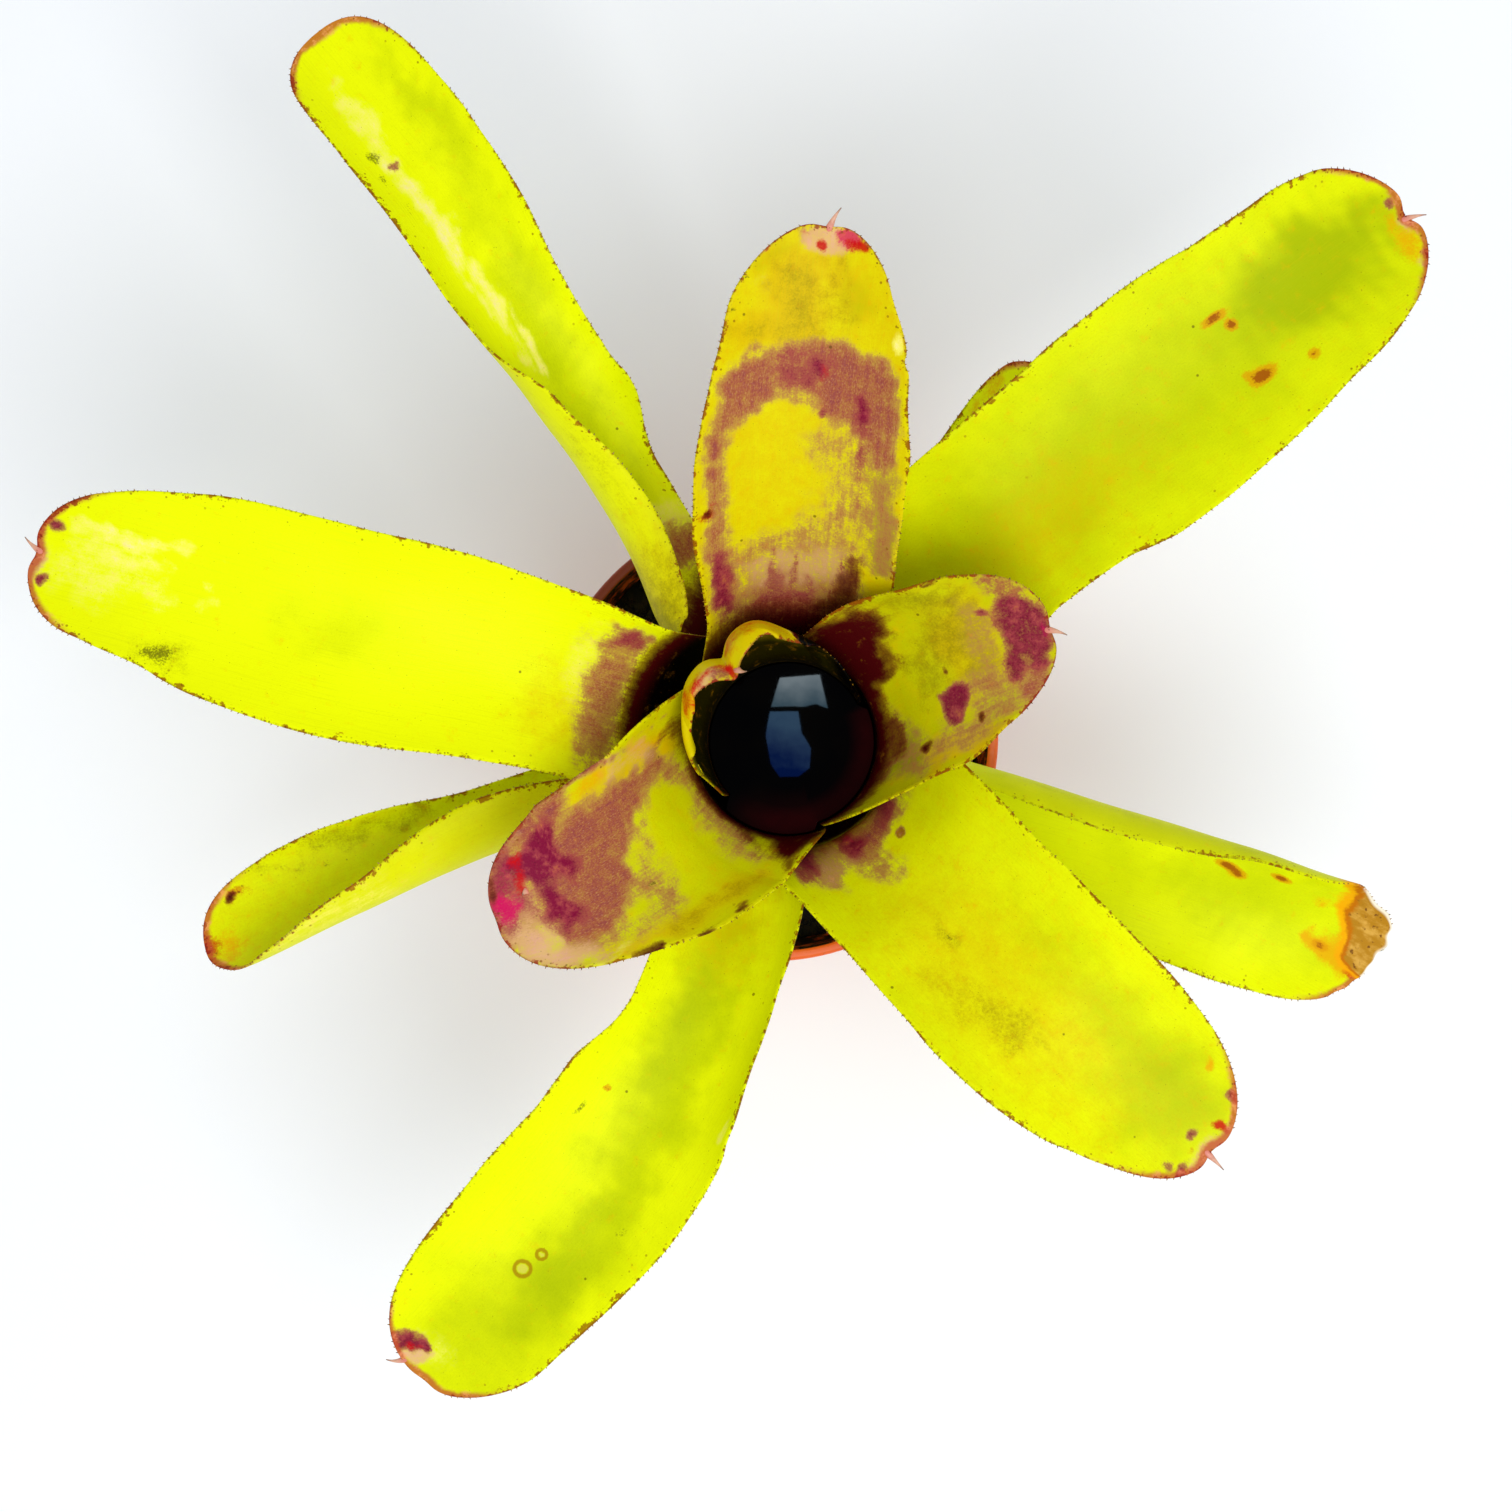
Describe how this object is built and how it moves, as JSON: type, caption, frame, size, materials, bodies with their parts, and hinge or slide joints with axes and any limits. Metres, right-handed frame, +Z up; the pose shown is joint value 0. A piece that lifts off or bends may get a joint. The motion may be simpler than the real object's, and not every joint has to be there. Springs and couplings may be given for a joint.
{
  "type": "potted bromeliad plant",
  "caption": "Rosette of broad strap leaves with small marginal teeth around a water-filled tank, growing in a round tapered plastic pot of dark potting mix.",
  "frame": {"origin": "centre of the pot's flat underside, on the surface that it stands on", "axes": "+Z up along the pot's axis, +Y towards the tallest inner leaf, +X to the right of it seen from above"},
  "size_m": [0.3472, 0.3485, 0.2204],
  "materials": {
    "terracotta_plastic": "satin",
    "potting_mix": "matte",
    "stem_fibre": "matte",
    "tank_water": "polished",
    "young_leaf": "satin",
    "grown_leaf": "satin"
  },
  "bodies": {
    "root": {"pot": "terracotta_plastic", "potting_mix": "potting_mix", "stem": "stem_fibre", "tank_water": "tank_water", "leaf_01": "young_leaf", "leaf_02": "young_leaf", "leaf_03": "young_leaf", "leaf_04": "young_leaf", "leaf_05": "grown_leaf", "leaf_06": "grown_leaf", "leaf_07": "grown_leaf", "leaf_08": "grown_leaf", "leaf_09": "grown_leaf", "leaf_10": "grown_leaf", "leaf_11": "grown_leaf", "leaf_12": "grown_leaf"}
  },
  "joints": []
}
